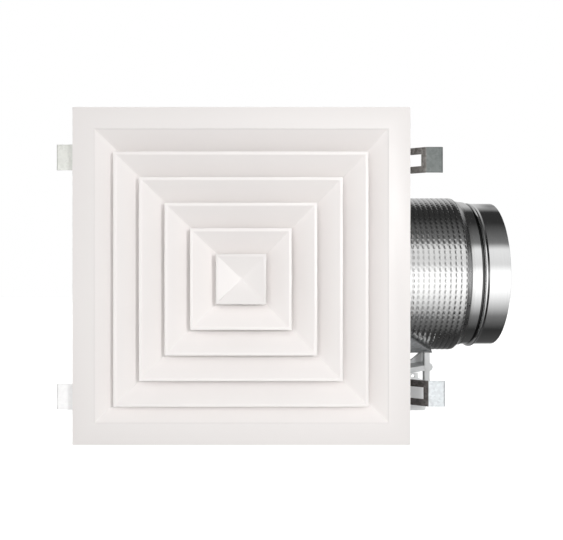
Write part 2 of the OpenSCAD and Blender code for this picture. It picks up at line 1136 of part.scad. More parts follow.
module terminal_box() {
    color(grey_plastic)
        difference() {
            union() {
                difference() {
                    slab(box_front, box_back)
                        box_outline(0);
                    slab(box_front + box_wall, box_back + 1)
                        box_outline(box_wall);
                }
                slab(gland_y + 9, box_back)
                    intersection() {
                        box_outline(0);
                        for (place = lid_screw_spots)
                            translate(place)
                                circle(r = lid_boss_r, $fn = fine);
                    }
                slab(box_front, box_front + 3)
                    polygon([
                        [body_right, box_high - 1],
                        [box_right, box_high - 1],
                        [box_right, box_high + 6],
                        [box_right - 1.6, box_high + 6.4],
                        [box_right - 7.8, box_high + 9.2],
                        [box_right - 7.8, box_high + 14],
                        [body_right, box_high + 14]
                    ]);
            }
            lid_screw_places()
                cylinder(h = 28, r = small_screw_r, center = true, $fn = fine);
            rod_y(1.8, box_front - 1, box_front + 4, box_right - 13, box_high + 11);
            rod_x(gland_bore_r + 2, box_right - 5, box_right + 1, gland_y, gland_z);
        }
}

module terminal_lid() {
    color(grey_plastic)
        difference() {
            slab(box_back, box_back + 2)
                box_outline(0);
            lid_screw_places()
                cylinder(h = 10, r = small_screw_r, center = true, $fn = fine);
        }
}

module lid_screws() {
    color(zinc)
        lid_screw_places()
            screw(small_screw_r, 3, 1.8, 12);
}

// Three ways of screw terminal
module terminal_block() {
    left = body_right + 7;
    front = box_front + 12;
    low = box_low + box_wall;
    pitch = 10;
    length = 3 * pitch + 2;
    color([0.93, 0.93, 0.9])
        difference() {
            union() {
                block([left, front, low], [left + length, front + 18, low + 8]);
                block([left, front + 4, low + 8], [left + length, front + 14, low + 12.5]);
            }
            for (way = [0 : 2])
                translate([left + 6 + way * pitch, 0, 0]) {
                    rod_z(2.6, low + 9, low + 14, 0, front + 9);
                    rod_y(2, front - 1, front + 19, 0, low + 4);
                }
        }
}

module cable_gland() {
    color(black)
        difference() {
            union() {
                rod_x(8, box_right, box_right + 5, gland_y, gland_z, 6);
                translate([0, gland_y, gland_z])
                    rotate([0, 90, 0])
                        rotate_extrude($fn = fine)
                            polygon([
                                [0, box_right - 7],
                                [gland_bore_r + 2, box_right - 7],
                                [gland_bore_r + 2, box_right + 5],
                                [7.4, box_right + 5],
                                [7.4, box_right + 10],
                                [6, box_right + 13],
                                [0, box_right + 13]
                            ]);
            }
            rod_x(gland_bore_r, box_right - 8, box_right + 14, gland_y, gland_z);
        }
}

module gland_nut() {
    color(black)
        difference() {
            rod_x(8, box_right - 6, box_right - box_wall, gland_y, gland_z, 6);
            rod_x(gland_bore_r + 2, box_right - 7, box_right - 1, gland_y, gland_z);
        }
}

// Height of the shelf's upper face, which rises away from the body
function shelf_top(x) = -101.1 + 0.16 * (x - body_right);

// +Z of the children points away from the body
module bracket_screw_places() {
    for (y = [shelf_front + 5, shelf_front + 20])
        translate([body_right + 2, y, shelf_top(body_right) + 5])
            rotate([0, 90, 0])
                children();
}

// The shelf, narrower at its outer end
module bracket_shelf() {
    end = post_x + post_w;
    intersection() {
        slab(shelf_front, shelf_back)
            polygon([
                [body_right, shelf_top(body_right) - shelf_t],
                [end, shelf_top(end) - shelf_t],
                [end, shelf_top(end)],
                [body_right, shelf_top(body_right)]
            ]);
        translate([0, 0, -face_w])
            linear_extrude(face_w)
                polygon([
                    [body_right, shelf_front],
                    [end, shelf_front],
                    [end, shelf_back - 16],
                    [end - 18, shelf_back],
                    [body_right, shelf_back]
                ]);
    }
}

// The moulded bracket under the duct: a shelf, a post with a boss, and a web with a
// slanting edge behind them
module duct_bracket() {
    web_back = shelf_back - 8;
    wall_top = shelf_top(body_right) + 9.6;
    color(grey_plastic)
        difference() {
            union() {
                bracket_shelf();
                block(
                    [body_right, shelf_front, shelf_top(body_right) - 1],
                    [body_right + 2, shelf_front + 26, wall_top]
                );
                block(
                    [post_x, shelf_front, box_high - 1.5],
                    [post_x + post_w, shelf_front + 10, post_top]
                );
                rod_y(4.2, shelf_front - 1, shelf_front + 10, post_x + 3.9, -94.3);
                slab(web_back - 4, web_back)
                    polygon([
                        [post_x - 15, -97],
                        [post_x + 1.5, -83.2],
                        [post_x + post_w, -83.2],
                        [post_x + post_w, -94]
                    ]);
            }
            rod_x(collar_r, body_right + 2, 200, duct_y, 0, smooth);
            bracket_screw_places()
                cylinder(h = 10, r = large_screw_r, center = true, $fn = fine);
        }
}

module bracket_screws() {
    color(zinc)
        bracket_screw_places()
            screw(large_screw_r, large_head_r, large_head_h, 8);
}

face_frame();
louvre(1);  // louvre_1
louvre(2);  // louvre_2
louvre(3);  // louvre_3
louvre(4);  // louvre_4
centre_louvre();
core_crossbars();
core_springs();
frame_screws();
housing_front();
housing_body();
housing_back();
back_screws();
clip(upper_left_clip);  // clip_upper_left
clip(lower_left_clip);  // clip_lower_left
clip(upper_right_clip);  // clip_upper_right
clip(lower_right_clip);  // clip_lower_right
clip_feet();
clip_screws();
scroll_front_plate();
scroll_wrap();
scroll_back_plate();
scroll_posts();
post_screws();
inlet_ring();
impeller_ring();
impeller_blades();
impeller_hub();
impeller_nut();
motor_shaft();
motor_rotor();
motor_stator();
motor_can();
motor_end_cap();
motor_bearings();
motor_plate();
rubber_mounts();
motor_screws();
run_capacitor();
capacitor_strap();
outlet_collar();
collar_rivets();
embossed_sleeve();
duct_insulation();
outlet_spigot();
damper_seat();
damper_pin();
damper_flap_front();
damper_flap_back();
damper_spring();
terminal_box();
terminal_lid();
lid_screws();
terminal_block();
cable_gland();
gland_nut();
duct_bracket();
bracket_screws();
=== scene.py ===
"""Looks of the bathroom extractor fan: visible sheet metal, louvres, sleeve and spigot are
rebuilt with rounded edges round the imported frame, and every piece gets its material."""

import json
from math import cos, hypot, pi, radians, sin, tan

import bmesh
import bpy
from mathutils import Matrix, Vector


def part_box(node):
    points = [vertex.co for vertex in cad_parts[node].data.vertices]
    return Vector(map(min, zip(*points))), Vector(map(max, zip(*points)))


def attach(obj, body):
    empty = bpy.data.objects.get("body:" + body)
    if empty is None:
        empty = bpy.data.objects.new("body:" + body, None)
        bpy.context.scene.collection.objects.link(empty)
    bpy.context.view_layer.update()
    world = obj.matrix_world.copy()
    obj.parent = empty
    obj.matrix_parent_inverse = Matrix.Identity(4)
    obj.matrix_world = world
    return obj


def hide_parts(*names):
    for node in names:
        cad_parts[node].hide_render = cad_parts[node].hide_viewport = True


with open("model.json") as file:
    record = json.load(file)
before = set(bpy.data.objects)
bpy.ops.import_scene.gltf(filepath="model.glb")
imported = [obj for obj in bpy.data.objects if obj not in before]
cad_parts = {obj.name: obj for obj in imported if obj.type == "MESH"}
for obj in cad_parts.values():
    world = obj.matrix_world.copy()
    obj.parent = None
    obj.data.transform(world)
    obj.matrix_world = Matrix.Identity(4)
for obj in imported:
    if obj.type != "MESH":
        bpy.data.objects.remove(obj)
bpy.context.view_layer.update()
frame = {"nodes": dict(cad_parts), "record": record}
NODES = frame["nodes"]
SLOT_OF = {part["node"]: part["material_slot"] for part in frame["record"]["subparts"]}
BODY_OF = {
    node: body
    for body, nodes in frame["record"]["behaviour"]["bodies"].items()
    for node in nodes
}
MM = 0.001


# ---- Node materials ----

def fill_ramp(ramp, greys):
    """Sets a colour ramp's stops from pairs of a position and a brightness."""
    stops = ramp.color_ramp.elements
    while len(stops) < len(greys):
        stops.new(0.5)
    for stop, (position, bright) in zip(stops, greys):
        stop.position = position
        stop.color = (bright, bright, bright, 1)


class Wiring:
    """Short ways to add nodes to a tree and to join them."""

    def __init__(self, tree):
        self.tree = tree

    def node(self, kind, **values):
        """A new node; each value is a setting of it or else the value of an input."""
        made = self.tree.nodes.new(kind)
        for name, value in values.items():
            if hasattr(made, name):
                setattr(made, name, value)
            else:
                made.inputs[name.replace("_", " ")].default_value = value
        return made

    def link(self, a, b):
        self.tree.links.new(a, b)

    def ranged(self, value, low, high, from_low=0.0, from_high=1.0, smooth=False):
        """A value from one range mapped to low at its start and high at its end."""
        made = self.node("ShaderNodeMapRange")
        made.interpolation_type = "SMOOTHSTEP" if smooth else "LINEAR"
        made.inputs["From Min"].default_value = from_low
        made.inputs["From Max"].default_value = from_high
        made.inputs["To Min"].default_value = low
        made.inputs["To Max"].default_value = high
        self.link(value, made.inputs["Value"])
        return made.outputs["Result"]

    def maths(self, operation, *values):
        """One step of arithmetic on sockets and numbers."""
        made = self.node("ShaderNodeMath", operation=operation)
        for value, socket in zip(values, made.inputs):
            if isinstance(value, bpy.types.NodeSocket):
                self.link(value, socket)
            else:
                socket.default_value = value
        return made.outputs[0]


class Shader(Wiring):
    """A principled material and short ways to wire nodes into it."""

    def __init__(self, name, colour, roughness, metallic=0.0):
        self.material = bpy.data.materials.new(name)
        self.material.use_nodes = True
        super().__init__(self.material.node_tree)
        self.bsdf = self.tree.nodes["Principled BSDF"]
        self.bsdf.inputs["Base Color"].default_value = (*colour, 1)
        self.bsdf.inputs["Roughness"].default_value = roughness
        self.bsdf.inputs["Metallic"].default_value = metallic
        self.place = self.node("ShaderNodeTexCoord").outputs["Object"]

    def stretched(self, scale):
        """The place on the object, scaled along each axis for a texture to run along one."""
        mapping = self.node("ShaderNodeMapping")
        mapping.inputs["Scale"].default_value = scale
        self.link(self.place, mapping.inputs["Vector"])
        return mapping.outputs["Vector"]

    def noise(self, scale, detail, vector=None):
        made = self.node("ShaderNodeTexNoise", Scale=scale, Detail=detail)
        self.link(vector or self.place, made.inputs["Vector"])
        return made.outputs["Fac"]

    def cells(self, scale):
        made = self.node("ShaderNodeTexVoronoi", Scale=scale)
        self.link(self.place, made.inputs["Vector"])
        return made

    def cell_colour(self, scale):
        """Red, green and blue of cells that each have a random colour."""
        parts = self.node("ShaderNodeSeparateColor")
        self.link(self.cells(scale).outputs["Color"], parts.inputs["Color"])
        return parts.outputs

    def along(self, axis):
        """How far along an axis a point is, in metres."""
        parts = self.node("ShaderNodeSeparateXYZ")
        self.link(self.place, parts.inputs[0])
        return parts.outputs[axis]

    def two_colours(self, value, dark, light):
        """Colours the surface from dark to light as a value goes from 0 to 1."""
        made = self.node("ShaderNodeMix", data_type="RGBA")
        made.inputs["A"].default_value = (*dark, 1)
        made.inputs["B"].default_value = (*light, 1)
        self.link(value, made.inputs["Factor"])
        self.link(made.outputs["Result"], self.bsdf.inputs["Base Color"])
        return made.outputs["Result"]

    def rough(self, value, low, high):
        self.link(self.ranged(value, low, high), self.bsdf.inputs["Roughness"])

    def bump(self, value, distance, strength=1.0):
        made = self.node("ShaderNodeBump", Distance=distance, Strength=strength)
        self.link(value, made.inputs["Height"])
        self.link(made.outputs["Normal"], self.bsdf.inputs["Normal"])

    def darkened_by_painted_shade(self, colour, left):
        """Darkens a colour as painted shade where the mesh's attribute for it is high."""
        painted_shade = self.node("ShaderNodeAttribute", attribute_name="painted_shade")
        made = self.node("ShaderNodeMix", data_type="RGBA", blend_type="MULTIPLY")
        self.link(painted_shade.outputs["Fac"], made.inputs["Factor"])
        self.link(colour, made.inputs["A"])
        made.inputs["B"].default_value = (left, left, left, 1)
        self.link(made.outputs["Result"], self.bsdf.inputs["Base Color"])


def white_paint(name, share=1.0, front=None):
    """Satin powder coat: faint orange peel and a slight drift of tone.

    A share below 1 darkens it all, and a front plane darkens what lies flat in that plane;
    both are painted shade.
    """
    s = Shader(name, (0.95, 0.915, 0.9), 0.4)
    dark, light = Vector((0.94, 0.905, 0.89)), Vector((0.965, 0.93, 0.915))
    paint = s.two_colours(s.noise(9, 2), dark * share, light * share)
    if front is not None:
        # Painted shade: the flat border is a little darker than the slopes, as in the photo
        border = s.ranged(s.along("Y"), 1, 0, front + 0.2 * MM, front + 1.2 * MM)
        border_shade = s.node("ShaderNodeMix", data_type="RGBA", blend_type="MULTIPLY")
        s.link(border, border_shade.inputs["Factor"])
        s.link(paint, border_shade.inputs["A"])
        border_shade.inputs["B"].default_value = (0.905, 0.905, 0.905, 1)
        s.link(border_shade.outputs["Result"], s.bsdf.inputs["Base Color"])
    s.rough(s.noise(40, 4), 0.36, 0.44)
    s.bump(s.noise(900, 2), 0.00004, 0.35)
    return s.material


def galvanised():
    """Hot-dipped sheet: large zinc spangles that differ in tone and gloss."""
    s = Shader("galvanised", (0.6, 0.61, 0.62), 0.35, 1)
    spangle = s.cell_colour(110)
    s.two_colours(spangle["Red"], (0.42, 0.43, 0.45), (0.62, 0.63, 0.64))
    s.rough(spangle["Green"], 0.28, 0.46)
    s.bump(s.noise(300, 3), 0.00003, 0.3)
    return s.material


def duct_metal():
    """Bright zinc, drawn round the duct in fine lines, darkened as painted shade where the
    mesh marks it.
    """
    s = Shader("duct_metal", (0.8, 0.8, 0.8), 0.2, 1)
    lines = s.noise(60, 5, s.stretched((30, 0.6, 0.6)))
    s.darkened_by_painted_shade(s.two_colours(lines, (0.72, 0.725, 0.73), (0.84, 0.84, 0.835)), 0.12)
    s.rough(lines, 0.07, 0.17)
    s.bump(s.noise(30, 3), 0.0004, 0.25)
    return s.material


def embossed_metal():
    """The sleeve's bright zinc, darkened in its grooves as painted shade; its waffle is in
    the mesh.
    """
    s = Shader("embossed_metal", (0.7, 0.7, 0.695), 0.18, 1)
    zinc = s.two_colours(s.noise(35, 3), (0.68, 0.68, 0.685), (0.79, 0.79, 0.775))
    s.darkened_by_painted_shade(zinc, 0.4)
    s.rough(s.noise(90, 4), 0.1, 0.2)
    s.bump(s.noise(60, 3), 0.0004, 0.3)
    return s.material


def neck_metal():
    """The sleeve's plain neck, dulled by forming."""
    s = Shader("neck_metal", (0.5, 0.5, 0.5), 0.3, 1)
    s.two_colours(s.noise(50, 3), (0.42, 0.42, 0.42), (0.58, 0.58, 0.58))
    s.rough(s.noise(90, 4), 0.22, 0.34)
    return s.material


def clip_metal(name, dark, light, metallic=0.35):
    """Dull zinc plate with small spangles."""
    s = Shader(name, light, 0.45, metallic)
    s.two_colours(s.cell_colour(420)["Blue"], dark, light)
    s.rough(s.noise(200, 3), 0.4, 0.58)
    s.bump(s.noise(700, 2), 0.00002, 0.4)
    return s.material


def fastener_metal():
    """Zinc-plated screws with a faint warm passivation."""
    s = Shader("fastener_metal", (0.7, 0.69, 0.66), 0.3, 1)
    s.two_colours(s.noise(600, 2), (0.6, 0.59, 0.55), (0.78, 0.77, 0.74))
    s.rough(s.noise(900, 2), 0.22, 0.42)
    return s.material


def ground_steel():
    """Shafts and pins, ground bright."""
    s = Shader("ground_steel", (0.6, 0.61, 0.62), 0.18, 1)
    s.rough(s.noise(1500, 2), 0.12, 0.26)
    s.two_colours(s.noise(80, 2), (0.55, 0.56, 0.57), (0.66, 0.67, 0.68))
    return s.material


def spring_steel():
    """Springs, darkened by tempering."""
    s = Shader("spring_steel", (0.36, 0.37, 0.39), 0.3, 1)
    s.two_colours(s.noise(500, 2), (0.3, 0.31, 0.33), (0.42, 0.43, 0.45))
    s.rough(s.noise(900, 2), 0.25, 0.4)
    return s.material


def painted(name, dark, light, low, high):
    """Semi-gloss paint over pressed steel."""
    s = Shader(name, light, low)
    s.two_colours(s.noise(25, 3), dark, light)
    s.rough(s.noise(120, 3), low, high)
    s.bump(s.noise(800, 2), 0.00004, 0.3)
    return s.material


def laminations():
    """Stacked thin steel sheets."""
    s = Shader("laminations", (0.3, 0.3, 0.31), 0.5, 1)
    lines = s.noise(40, 2, s.stretched((0.3, 60, 0.3)))
    s.two_colours(lines, (0.2, 0.2, 0.21), (0.42, 0.42, 0.43))
    s.rough(lines, 0.4, 0.6)
    return s.material


def copper_winding():
    """Enamelled wire wound round the stator."""
    s = Shader("copper_winding", (0.6, 0.26, 0.1), 0.28, 1)
    wires = s.noise(50, 3, s.stretched((20, 1, 20)))
    s.two_colours(wires, (0.4, 0.15, 0.06), (0.75, 0.36, 0.16))
    s.bump(wires, 0.0003, 0.6)
    return s.material


def moulded(name, dark, light, low, high):
    """Injection-moulded plastic with a fine texture."""
    s = Shader(name, light, low)
    s.two_colours(s.noise(14, 3), dark, light)
    s.rough(s.noise(70, 3), low, high)
    s.bump(s.noise(1500, 2), 0.00004, 0.4)
    return s.material


def foam():
    """Open-cell acoustic foam."""
    s = Shader("foam", (0.14, 0.14, 0.15), 0.95)
    pores = s.cells(700).outputs["Distance"]
    s.two_colours(pores, (0.05, 0.05, 0.055), (0.19, 0.19, 0.2))
    s.bump(pores, 0.0006, 0.8)
    return s.material


MATERIALS = {
    "face_white": white_paint("white_paint"),
    "galvanised": galvanised(),
    "duct_zinc": duct_metal(),
    "embossed_zinc": embossed_metal(),
    "clip_zinc": clip_metal("clip_metal", (0.68, 0.71, 0.73), (0.82, 0.86, 0.88)),
    "fastener_zinc": fastener_metal(),
    "ground_steel": ground_steel(),
    "spring_steel": spring_steel(),
    "motor_paint": painted(
        "motor_paint", (0.03, 0.031, 0.033), (0.055, 0.056, 0.06), 0.28, 0.42
    ),
    "laminations": laminations(),
    "copper": copper_winding(),
    "impeller_black": moulded(
        "impeller_black", (0.018, 0.018, 0.02), (0.035, 0.035, 0.038), 0.38, 0.52
    ),
    "rubber_black": moulded(
        "rubber_black", (0.015, 0.015, 0.015), (0.03, 0.03, 0.03), 0.7, 0.85
    ),
    "foam_grey": foam(),
    "flap_aluminium": clip_metal(
        "flap_aluminium", (0.74, 0.745, 0.75), (0.84, 0.845, 0.85), 1
    ),
    "capacitor_can": clip_metal(
        "capacitor_can", (0.76, 0.76, 0.765), (0.86, 0.86, 0.86), 1
    ),
    "grey_plastic": moulded(
        "grey_plastic", (0.6, 0.61, 0.615), (0.66, 0.67, 0.67), 0.42, 0.56
    ),
    "block_plastic": moulded(
        "block_plastic", (0.74, 0.73, 0.68), (0.8, 0.79, 0.74), 0.35, 0.5
    ),
    "gland_black": moulded(
        "gland_black", (0.015, 0.015, 0.016), (0.028, 0.028, 0.03), 0.45, 0.6
    ),
}


# ---- Mesh helpers ----

def add_object(name, bm, node, smooth_angle=30, material=None):
    """Makes a piece from a bmesh, finished like the CAD node that it stands for."""
    bmesh.ops.recalc_face_normals(bm, faces=bm.faces)
    mesh = bpy.data.meshes.new(name)
    bm.to_mesh(mesh)
    bm.free()
    for face in mesh.polygons:
        face.use_smooth = True
    mesh.set_sharp_from_angle(angle=radians(smooth_angle))
    piece = bpy.data.objects.new(name, mesh)
    bpy.context.scene.collection.objects.link(piece)
    mesh.materials.append(material or MATERIALS[SLOT_OF[node]])
    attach(piece, BODY_OF[node])
    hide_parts(node)
    return piece


def sharp_edges(bm, degrees):
    """The edges between two faces that meet at more than an angle."""
    return [
        e for e in bm.edges
        if len(e.link_faces) == 2 and e.calc_face_angle() > radians(degrees)
    ]


def rounded(node, width, segments=2):
    """The CAD node's own shape with every sharp edge rounded."""
    bm = bmesh.new()
    bm.from_mesh(NODES[node].data)
    bmesh.ops.remove_doubles(bm, verts=bm.verts, dist=0.002 * MM)
    bmesh.ops.dissolve_limit(
        bm, angle_limit=radians(1), verts=bm.verts, edges=bm.edges
    )
    bmesh.ops.bevel(
        bm, geom=sharp_edges(bm, 30), offset=width, segments=segments, profile=0.5,
        affect="EDGES", clamp_overlap=True,
    )
    return add_object(node + "_finish", bm, node)


def filleted(corners, steps):
    """A polyline (a, b, radius) with each corner rounded by its radius."""
    points = []
    count = len(corners)
    for i, (a, b, radius) in enumerate(corners):
        here = Vector((a, b))
        if not radius:
            points.append(here)
            continue
        before = Vector(corners[i - 1][:2]) - here
        after = Vector(corners[(i + 1) % count][:2]) - here
        half = before.angle(after) / 2
        reach = min(radius / tan(half), 0.49 * before.length, 0.49 * after.length)
        start = here + before.normalized() * reach
        end = here + after.normalized() * reach
        for step in range(steps + 1):
            t = step / steps
            points.append((1 - t) ** 2 * start + 2 * t * (1 - t) * here + t ** 2 * end)
    return points


def ring_grid(bm, rings, close_loop=True):
    """Skins a list of rings of points with quads, from the last to the first too."""
    grid = [[bm.verts.new(point) for point in ring] for ring in rings]
    rows = len(grid)
    for i in range(rows if close_loop else rows - 1):
        here, there = grid[i], grid[(i + 1) % rows]
        for j in range(len(here)):
            k = (j + 1) % len(here)
            bm.faces.new((here[j], here[k], there[k], there[j]))
    return grid


def full_turn(sides):
    """Evenly spaced angles round a circle."""
    return [2 * pi * j / sides for j in range(sides)]


def islands(node):
    """The separate solids of a CAD node, each as a list of its corner points."""
    bm = bmesh.new()
    bm.from_mesh(NODES[node].data)
    bmesh.ops.remove_doubles(bm, verts=bm.verts, dist=0.001 * MM)
    seen = set()
    groups = []
    for start in bm.verts:
        if start in seen:
            continue
        seen.add(start)
        stack = [start]
        group = []
        while stack:
            vert = stack.pop()
            group.append(vert.co.copy())
            for edge in vert.link_edges:
                other = edge.other_vert(vert)
                if other not in seen:
                    seen.add(other)
                    stack.append(other)
        groups.append(group)
    bm.free()
    return groups


# ---- Fasteners ----

def recess_depth(x, y, style):
    """How deep a head of unit radius is pressed in at a point."""
    if style == "cross":
        arm, across = max(abs(x), abs(y)), min(abs(x), abs(y))
        return 0.42 * max(0.0, 1 - arm / 0.62) ** 0.6 if across < 0.14 else 0.0
    return 0.35 if hypot(x, y) < 0.34 else 0.0


def add_fastener(bm, place, head_r, head_h, shank_r, length, style):
    """A domed head on a shank: a cross recess for screws, a dimple for rivets."""
    angles = full_turn(40)
    # Rings of points out to the head's edge, closer together round the recess
    shares = (0.05, 0.13, 0.2, 0.28, 0.33, 0.36, 0.46, 0.56, 0.64, 0.76, 0.88, 0.96, 1.0)
    rings = []
    for share in shares:
        top = head_h * (1 - 0.3 * share ** 2.4 - (0.22 if share == 1.0 else 0.0))
        rings.append([
            (
                head_r * share * cos(a),
                head_r * share * sin(a),
                top - head_h * recess_depth(share * cos(a), share * sin(a), style),
            )
            for a in angles
        ])
    for r, z in ((head_r, 0), (shank_r, 0), (shank_r, -length)):
        rings.append([(r * cos(a), r * sin(a), z) for a in angles])
    rings = [[place @ Vector(point) for point in ring] for ring in rings]
    grid = ring_grid(bm, rings, close_loop=False)
    bm.faces.new(grid[0])
    bm.faces.new(list(reversed(grid[-1])))


def fasteners(node, style="cross"):
    """Rebuilds every screw or rivet of a CAD node with a finished head."""
    bm = bmesh.new()
    for number, points in enumerate(islands(node)):
        low = Vector(min(p[i] for p in points) for i in range(3))
        high = Vector(max(p[i] for p in points) for i in range(3))
        size, middle = high - low, (low + high) / 2
        # A fastener is as wide as it is thick, so its axis is the third one
        axis = min(range(3), key=lambda i: abs(size[i - 1] - size[i - 2]))
        head_r = size[axis - 1] / 2

        def off_axis(p):
            return hypot(p[axis - 1] - middle[axis - 1], p[axis - 2] - middle[axis - 2])

        rim = [p[axis] for p in points if off_axis(p) > 0.9 * head_r]
        shank = [off_axis(p) for p in points if 0.2 * head_r < off_axis(p) < 0.8 * head_r]
        outward = 1 if sum(rim) / len(rim) > middle[axis] else -1
        under = min(rim) if outward > 0 else max(rim)
        head_h = max(rim) - min(rim)
        direction = Vector((0, 0, 0))
        direction[axis] = outward
        centre = middle.copy()
        centre[axis] = under
        place = (
            Matrix.Translation(centre)
            @ direction.to_track_quat("Z", "Y").to_matrix().to_4x4()
            @ Matrix.Rotation(0.7 * number, 4, "Z")
        )
        add_fastener(bm, place, head_r, head_h, max(shank), size[axis] - head_h, style)
    add_object(node + "_finish", bm, node, 40)


# ---- The duct ----

DUCT_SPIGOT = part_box("outlet_spigot")
DUCT_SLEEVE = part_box("embossed_sleeve")
# Depth of the duct's axis: the spigot is round and centred on it
DUCT_Y = (DUCT_SPIGOT[0].y + DUCT_SPIGOT[1].y) / 2
SLEEVE_R = (DUCT_SLEEVE[1].z - DUCT_SLEEVE[0].z) / 2


def duct_point(x, r, angle):
    """A point on a circle round the duct's axis."""
    return (x, DUCT_Y + r * cos(angle), r * sin(angle))


def pillow(t):
    """Height of one embossed pad across its pitch, from 0 at its edges to 1."""
    return 1 - abs(2 * (t % 1) - 1) ** 2.6


def waffle(groove, pad):
    """How deep the embossing lies under the tops of its pads, from 0 to 1.

    Grooves round the sleeve run deep between its pads, and lines along it are faint.
    """
    return groove * (0.45 + 0.55 * pad) + 0.12 * (1 - pad) * (1 - groove)


def embossed_sleeve():
    """The sleeve's barrel with its waffle pressed outwards, its taper and its cuff."""
    low, high = DUCT_SLEEVE
    spigot_r = SLEEVE_R - 6 * MM
    barrel_end = high.x - 9 * MM
    pitch, pads_round, steps = 5.2 * MM, 91, 6
    rise = 0.8 * MM
    taper = 6 * MM
    angles = full_turn(steps * pads_round)
    pads = [pillow(j / steps) for j in range(len(angles))]
    plain = [0.0] * len(angles)
    rings = [[duct_point(low.x, spigot_r, a) for a in angles]]
    painted_shade = [plain]
    rows = round((barrel_end - low.x) / pitch * steps)
    for i in range(rows + 1):
        x = low.x + (barrel_end - low.x) * i / rows
        from_end = (barrel_end - x) / pitch
        groove = 1 - pillow(from_end)
        rings.append([
            duct_point(x, SLEEVE_R - rise * waffle(groove, pad), a)
            for pad, a in zip(pads, angles)
        ])
        # Painted shade in the grooves round the sleeve, weaker where they cross the lines
        # along it
        painted_shade.append([groove ** 2 * (0.3 + 0.7 * pad) for pad in pads])
    neck = (
        (SLEEVE_R - 0.5 * MM, barrel_end + 0.4 * MM),
        (SLEEVE_R - 1.1 * MM, barrel_end + 1.0 * MM),
        (spigot_r + 2.0 * MM, barrel_end + 4.4 * MM),
        (spigot_r + 1.3 * MM, barrel_end + 5.3 * MM),
        (spigot_r + 1.0 * MM, barrel_end + 6.4 * MM),
        (spigot_r + 0.9 * MM, high.x - 0.2 * MM),
        (spigot_r + 0.5 * MM, high.x),
        (spigot_r, high.x),
    )
    for r, x in neck:
        # The cuff's ends overlap at the top, where it stands proud
        in_cuff = spigot_r + 0.6 * MM < r < spigot_r + 1.5 * MM
        lap = 1.7 * MM if in_cuff else 0
        rings.append([duct_point(x, r + lap * max(0, sin(a)) ** 60, a) for a in angles])
        painted_shade.append(plain)
    bm = bmesh.new()
    layer = bm.verts.layers.float.new("painted_shade")
    for verts, shades in zip(ring_grid(bm, rings), painted_shade):
        for vert, shade in zip(verts, shades):
            vert[layer] = shade
    piece = add_object("embossed_sleeve_finish", bm, "embossed_sleeve", 50)
    piece.data.materials.append(neck_metal())
    for face in piece.data.polygons:
        if barrel_end < face.center.x < barrel_end + taper:
            face.material_index = 1


def collar_on_sleeve():
    """The collar, drawn in to the sleeve as if sealed, so that no gap shows."""
    piece = rounded("outlet_collar", 0.25 * MM)
    piece.data.materials[0] = clip_metal(
        "collar_metal", (0.36, 0.37, 0.38), (0.56, 0.57, 0.58), 0.5
    )
    in_mouth = DUCT_SLEEVE[0].x + 2 * MM
    for vert in piece.data.vertices:
        from_axis = hypot(vert.co.y - DUCT_Y, vert.co.z)
        if SLEEVE_R < from_axis < SLEEVE_R + 2.8 * MM and vert.co.x > in_mouth:
            share = (SLEEVE_R + 0.05 * MM) / from_axis
            vert.co.y = DUCT_Y + (vert.co.y - DUCT_Y) * share
            vert.co.z *= share


def outlet_spigot():
    """The spigot: a narrow groove, a bead that fades out at the top, and a rounded rim."""
    low, high = DUCT_SPIGOT
    bead_h = 2.4 * MM
    groove_deep = 1.0 * MM
    wall = 0.8 * MM
    r = (high.z - low.z) / 2 - bead_h
    bead_x = high.x - 22 * MM
    # The points on the plain barrel give the hump and the end rows of painted shade to work
    # on
    outer = [
        (r, low.x, 0),
        (r, bead_x - 15.0 * MM, 0),
        (r, bead_x - 12.0 * MM, 0),
        (r, bead_x - 9.5 * MM, 0),
        (r, bead_x - 7.5 * MM, 0),
        (r, bead_x - 5.5 * MM, 0.3 * MM),
        (r - groove_deep, bead_x - 4.9 * MM, 0.3 * MM),
        (r - groove_deep, bead_x - 3.6 * MM, 0.3 * MM),
        (r + bead_h, bead_x - 2.2 * MM, 0.8 * MM),
        (r + bead_h, bead_x - 1.0 * MM, 0.8 * MM),
        (r, bead_x + 1.6 * MM, 0.8 * MM),
        (r, bead_x + 5.0 * MM, 0),
        (r, bead_x + 10.0 * MM, 0),
        (r, bead_x + 15.0 * MM, 0),
        (r, high.x, 0.3 * MM),
    ]
    inner = [(radial - wall, x, radius) for radial, x, radius in reversed(outer)]
    hump_x, hump_half, hump_h = bead_x - 9.5 * MM, 8 * MM, 2.2 * MM
    rings = []
    for radial, x in filleted(outer + inner, 6):
        hump = max(0.0, 1 - ((x - hump_x) / hump_half) ** 2)
        ring = []
        for a in full_turn(192):
            up = max(0.0, sin(a))
            faded = max(0.0, radial - r) * 0.85 * up ** 3
            lifted = hump_h * up ** 60 * hump
            ring.append(duct_point(x, radial - faded + lifted, a))
        rings.append(ring)
    bm = bmesh.new()
    layer = bm.verts.layers.float.new("painted_shade")
    for ring in ring_grid(bm, rings):
        for vert in ring:
            # Painted shade fills the narrow groove before the bead
            in_groove = bead_x - 5.2 * MM < vert.co.x < bead_x - 3.3 * MM
            # Painted shade: the top of the free end is darker, as in the photo
            above = min(1.0, max(0.0, (vert.co.z / r - 0.88) / 0.06))
            beyond = min(1.0, max(0.0, (vert.co.x - bead_x - 4 * MM) / (10 * MM)))
            vert[layer] = 1.0 if in_groove else 0.9 * above * beyond
    add_object("outlet_spigot_finish", bm, "outlet_spigot", 40)


# ---- The clips ----

